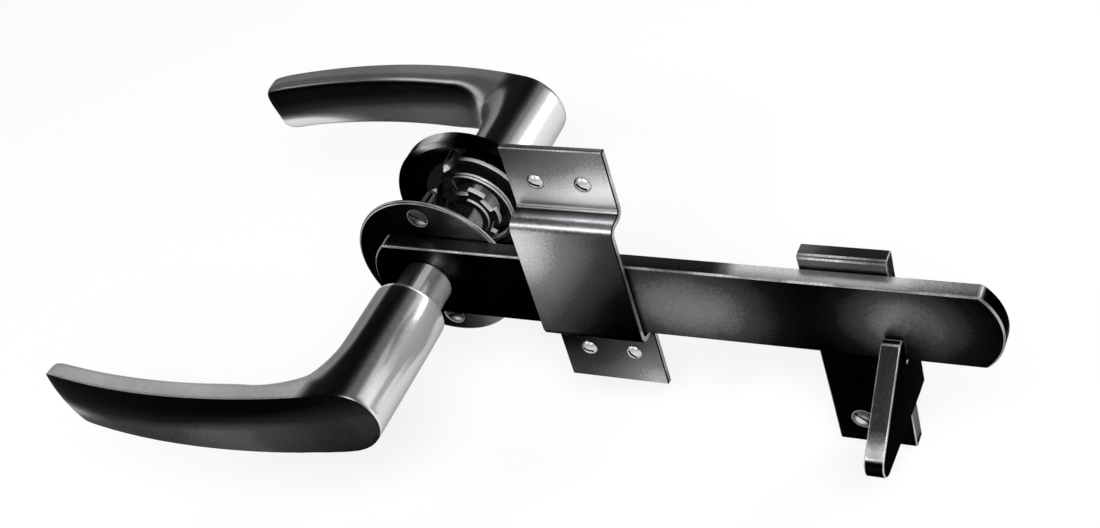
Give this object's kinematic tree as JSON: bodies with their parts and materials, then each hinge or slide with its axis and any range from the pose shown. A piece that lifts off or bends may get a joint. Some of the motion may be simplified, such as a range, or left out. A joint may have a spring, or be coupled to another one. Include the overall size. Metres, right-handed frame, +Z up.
{
  "type": "garden door latch",
  "caption": "Garden door lift latch: lever handles on a square spindle raise a flat steel bar through a joggled guide bracket and out of a ramped hook catch on the post.",
  "frame": {"origin": "on the spindle's axis, at the front face of the door, where the front rose rests", "axes": "+X along the latch bar towards the catch, +Y into the door, +Z up"},
  "size_m": [0.2658, 0.1541, 0.1004],
  "materials": {
    "polished_lever": "polished, dark tone",
    "bright_steel": "bright turned",
    "screw_steel": "bright zinc plated",
    "black_bar": "black, satin with fine grain",
    "black_rose": "black, satin",
    "black_bracket": "black, satin with fine grain",
    "black_catch": "black, satin",
    "bush": "nickel plated, satin"
  },
  "bodies": {
    "fixed_fittings": {"front_rose": "black_rose", "front_bush": "bush", "rear_rose": "black_rose", "rear_bush": "bush", "return_spring": "bright_steel", "front_rose_screws": "screw_steel", "rear_rose_screws": "screw_steel", "guide_bracket": "black_bracket", "bracket_screws": "screw_steel", "catch": "black_catch", "catch_screws": "screw_steel"},
    "handle_set": {"front_lever": "polished_lever", "rear_lever": "polished_lever", "spindle": "bright_steel", "front_collar": "bright_steel", "rear_collar": "bright_steel", "latch_bar": "black_bar", "set_screw": "bright_steel", "spring_driver": "bright_steel", "driver_clip": "bright_steel"}
  },
  "joints": [
    {"name": "latch_lift", "type": "hinge", "parent": "fixed_fittings", "child": "handle_set", "pos_m": [0, 0, 0], "axis": [0, -1, 0], "range_deg": [0, 10], "stiffness_Nm_per_rad": 1, "springref_deg": -22.92}
  ]
}
